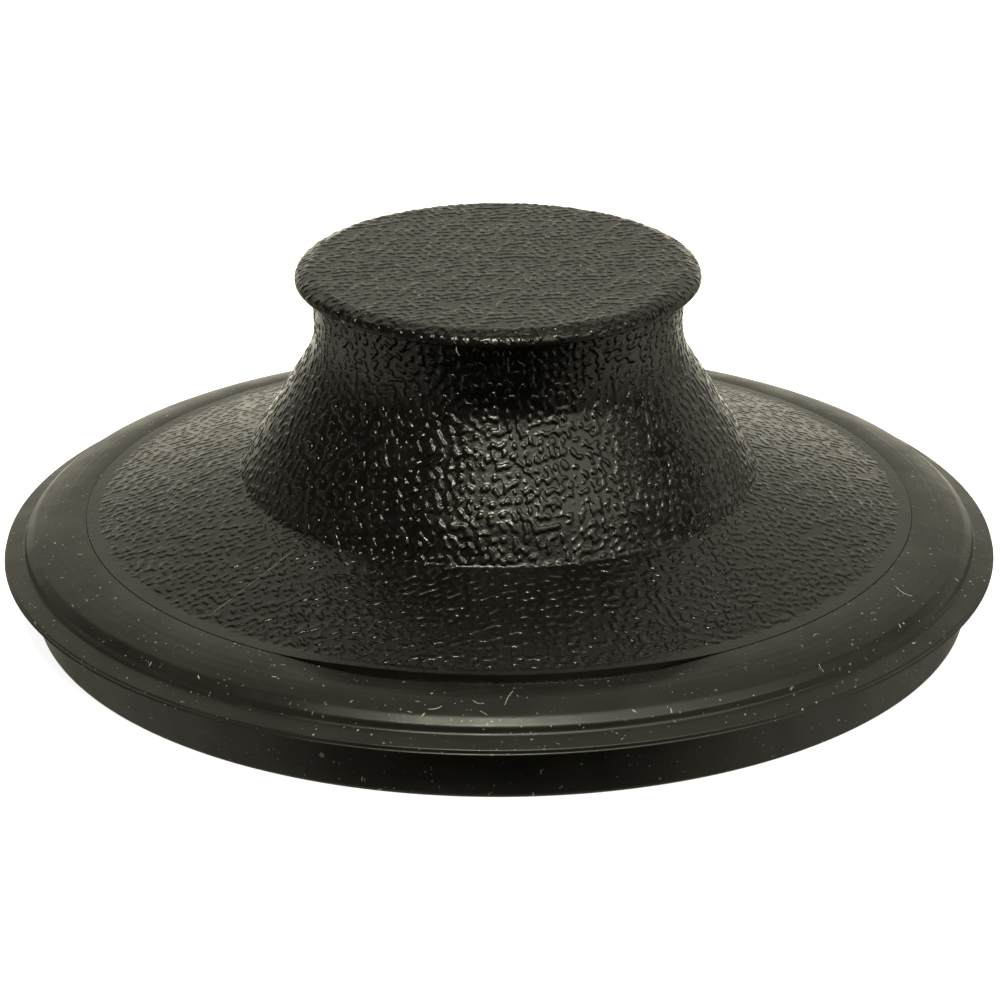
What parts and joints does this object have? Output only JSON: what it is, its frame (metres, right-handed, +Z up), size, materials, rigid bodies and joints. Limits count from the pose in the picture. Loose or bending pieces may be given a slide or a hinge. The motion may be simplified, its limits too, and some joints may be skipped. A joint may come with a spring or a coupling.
{
  "type": "sink stopper",
  "caption": "Round black stopper with a short flared knob on a grained cone plate and a smooth rubber rim with a skirt. Plugs the opening of a kitchen sink's waste disposer.",
  "frame": {"origin": "on the stopper's axis, at the plane of the skirt's bottom edge that it stands on", "axes": "+Z up along the axis of symmetry, out of the top of the knob; +X and +Y are across the round plate"},
  "size_m": [0.086, 0.086, 0.0305],
  "materials": {
    "body_plastic": "moulded leather grain, satin",
    "cap_plastic": "fine moulded leather grain on top, smooth rounded lip, satin",
    "ring_rubber": "smooth satin rubber with a little dust"
  },
  "bodies": {
    "root": {"stopper_body": "body_plastic", "knob_cap": "cap_plastic", "seal_ring": "ring_rubber"}
  },
  "joints": []
}
